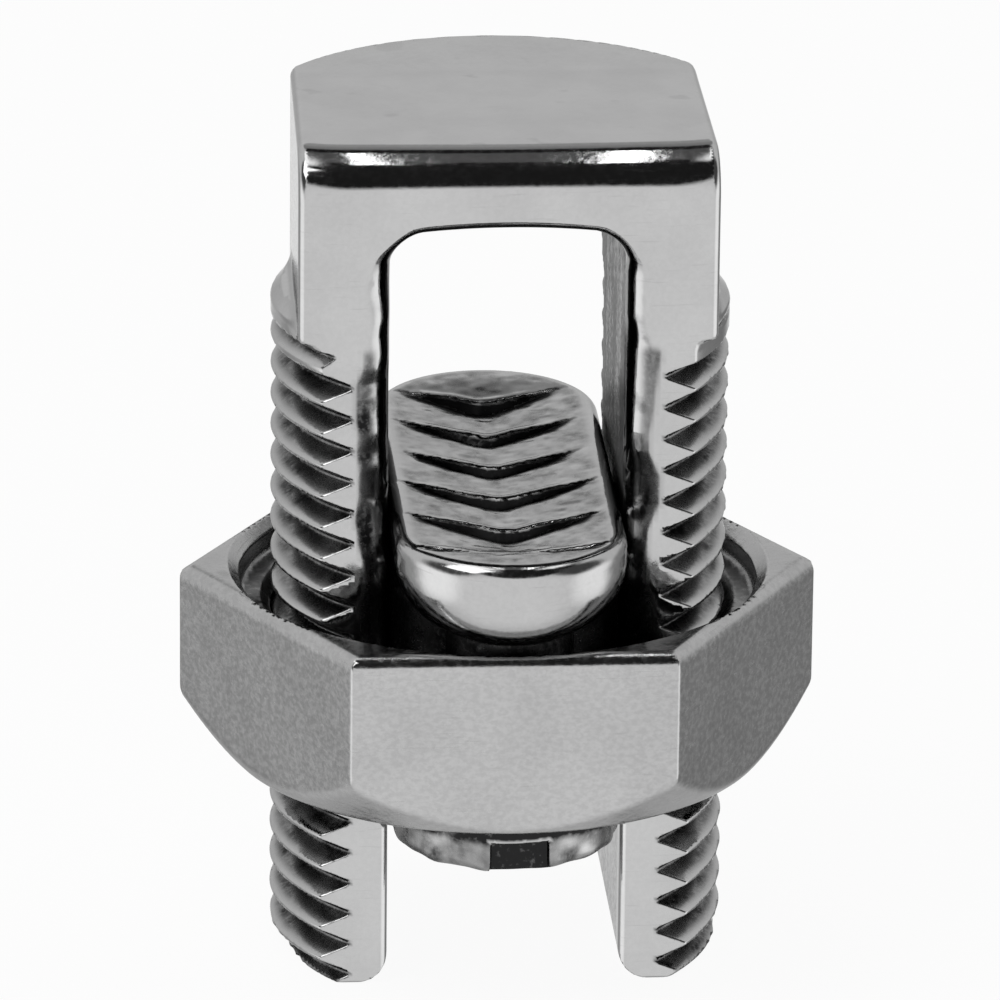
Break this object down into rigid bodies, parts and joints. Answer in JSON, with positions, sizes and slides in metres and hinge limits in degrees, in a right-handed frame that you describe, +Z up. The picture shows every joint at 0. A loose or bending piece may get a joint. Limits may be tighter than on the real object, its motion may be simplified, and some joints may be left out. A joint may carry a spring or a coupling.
{
  "type": "split bolt connector",
  "caption": "Split bolt wire connector: a hex nut on a slotted threaded bolt drives a serrated pressure bar up the slot and clamps wires under the crown.",
  "frame": {"origin": "on the bolt's axis, level with the tips of its legs", "axes": "+Z runs up the bolt's axis to its head, the clamped wires lie along Y, the flat front of the bolt faces -Y"},
  "size_m": [0.0312, 0.0298, 0.0426],
  "materials": {
    "bolt_plating": "polished silver-grey plating over forged copper alloy",
    "nut_plating": "satin silver-grey plating over forged copper alloy",
    "bar_plating": "polished silver-grey plating over forged copper alloy"
  },
  "bodies": {
    "bolt": {"split_bolt": "bolt_plating"},
    "bar": {"pressure_bar": "bar_plating"},
    "nut": {"hex_nut": "nut_plating"}
  },
  "joints": [
    {"name": "bar_travel", "type": "slide", "parent": "bolt", "child": "bar", "axis": [0, 0, 1], "range_m": [-0.0094, 0.013]},
    {"name": "nut_turn", "type": "hinge", "parent": "bar", "child": "nut", "pos_m": [0, 0, 0.0145], "axis": [0, 0, 1], "range_deg": [-2134, 2950]}
  ],
  "couplings": [
    {"joint": "nut_turn", "follows": "bar_travel", "rad_per_m": 3957.9}
  ]
}
